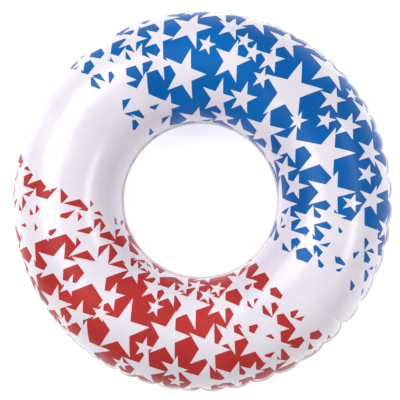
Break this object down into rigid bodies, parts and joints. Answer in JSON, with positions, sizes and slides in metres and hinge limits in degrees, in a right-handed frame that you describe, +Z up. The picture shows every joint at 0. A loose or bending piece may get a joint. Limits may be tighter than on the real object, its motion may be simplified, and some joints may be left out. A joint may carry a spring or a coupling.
{
  "type": "inflatable swim ring",
  "caption": "Round inflatable swim ring of printed vinyl film with a welded rim, a wide central hole and a push-in mouth valve.",
  "frame": {"origin": "centre of the hole, on the surface that the ring lies on", "axes": "+Z up along the ring's axis, +Y towards the side that carries the valve, +X to its right"},
  "size_m": [0.7059, 0.706, 0.1975],
  "materials": {
    "printed_film": "glossy soft vinyl, printed with white stars in blue and in red",
    "welded_film": "glossy soft vinyl, fused",
    "valve_vinyl": "soft moulded vinyl, semi-gloss",
    "clear_vinyl": "clear soft vinyl"
  },
  "bodies": {
    "ring": {"front_film": "printed_film", "back_film": "printed_film", "outer_seam": "welded_film", "inner_seam": "welded_film", "valve_base": "valve_vinyl", "valve_diaphragm": "valve_vinyl"},
    "mouthpiece": {"valve_stem": "valve_vinyl", "check_valve_seat": "valve_vinyl"},
    "flap": {"check_valve_flap": "clear_vinyl"},
    "stopper": {"stopper_plug": "valve_vinyl", "stopper_strap": "valve_vinyl"}
  },
  "joints": [
    {"name": "stem_sink", "type": "slide", "parent": "ring", "child": "mouthpiece", "axis": [0, 0.7071, 0.7071], "range_m": [0, 0.013], "deforming": ["valve_diaphragm"]},
    {"name": "stopper_swing", "type": "hinge", "parent": "mouthpiece", "child": "stopper", "pos_m": [0, 0.15643, 0.02366], "axis": [-1, 0, 0], "range_deg": [0, 150]},
    {"name": "flap_open", "type": "hinge", "parent": "mouthpiece", "child": "flap", "pos_m": [0, 0.17811, 0.02667], "axis": [-1, 0, 0], "range_deg": [0, 35], "stiffness_Nm_per_rad": 0.00002}
  ]
}
